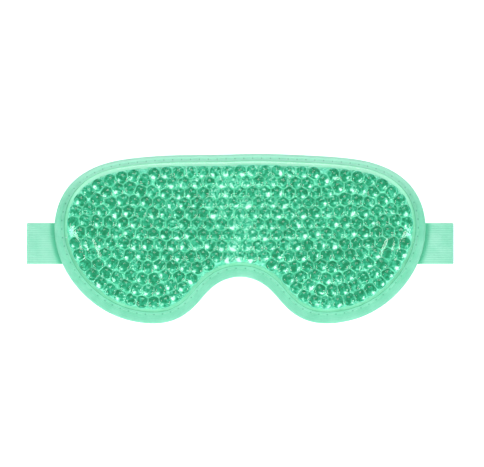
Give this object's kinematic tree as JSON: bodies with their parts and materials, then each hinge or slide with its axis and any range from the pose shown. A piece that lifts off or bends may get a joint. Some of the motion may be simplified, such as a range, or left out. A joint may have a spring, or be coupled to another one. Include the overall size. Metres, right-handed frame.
{
  "type": "gel bead eye mask",
  "caption": "Eye mask of gel beads in a clear green film bag, with a fabric-bound rim, a plush back and an elastic strap that folds behind and closes with hook and loop.",
  "frame": {"origin": "middle of the underside: on the table under the centre of the mask, on the lower face of the hook strap", "axes": "+X across the face from the hook strap's temple to the loop strap's temple, +Y to the forehead, +Z out of the bead side"},
  "size_m": [0.26, 0.1034, 0.0153],
  "materials": {
    "clear_film": "glossy soft PVC film, clear green",
    "gel_bead": "wet swollen gel",
    "gel_liquid": "clear liquid gel",
    "plush": "short soft pile",
    "binding_tape": "knitted polyester binding",
    "thread": "polyester sewing thread",
    "elastic": "ribbed woven elastic",
    "hook_tape": "moulded nylon hooks",
    "loop_tape": "brushed nylon loops"
  },
  "bodies": {
    "mask": {"front_film": "clear_film", "back_film": "clear_film", "gel_beads": "gel_bead", "gel_liquid": "gel_liquid", "plush_backing": "plush", "edge_binding": "binding_tape", "binding_needle_thread": "thread", "binding_bobbin_thread": "thread", "left_strap_root": "elastic", "right_strap_root": "elastic", "left_root_stitching": "thread", "right_root_stitching": "thread", "left_strap_fold": "elastic", "right_strap_fold": "elastic"},
    "hook_strap": {"hook_strap_band": "elastic"},
    "hook_tab": {"hook_tab_band": "elastic", "hook_tape": "hook_tape", "hook_tape_stitching": "thread"},
    "loop_strap": {"loop_strap_band": "elastic", "loop_tape": "loop_tape", "loop_tape_stitching": "thread"}
  },
  "joints": [
    {"name": "hook_swing", "type": "hinge", "parent": "mask", "child": "hook_strap", "pos_m": [-0.12735, -0.003, 0.00265], "axis": [0, 1, 0], "range_deg": [0, 179], "deforming": ["left_strap_fold"]},
    {"name": "loop_swing", "type": "hinge", "parent": "mask", "child": "loop_strap", "pos_m": [0.1287, -0.003, 0.004], "axis": [0, -1, 0], "range_deg": [0, 179], "deforming": ["right_strap_fold"]},
    {"name": "tab_peel", "type": "hinge", "parent": "hook_strap", "child": "hook_tab", "pos_m": [0.024, -0.003, -0.00005], "axis": [0, 1, 0], "range_deg": [0, 150]}
  ],
  "couplings": [
    {"joint": "loop_swing", "follows": "hook_swing", "ratio": 1}
  ]
}
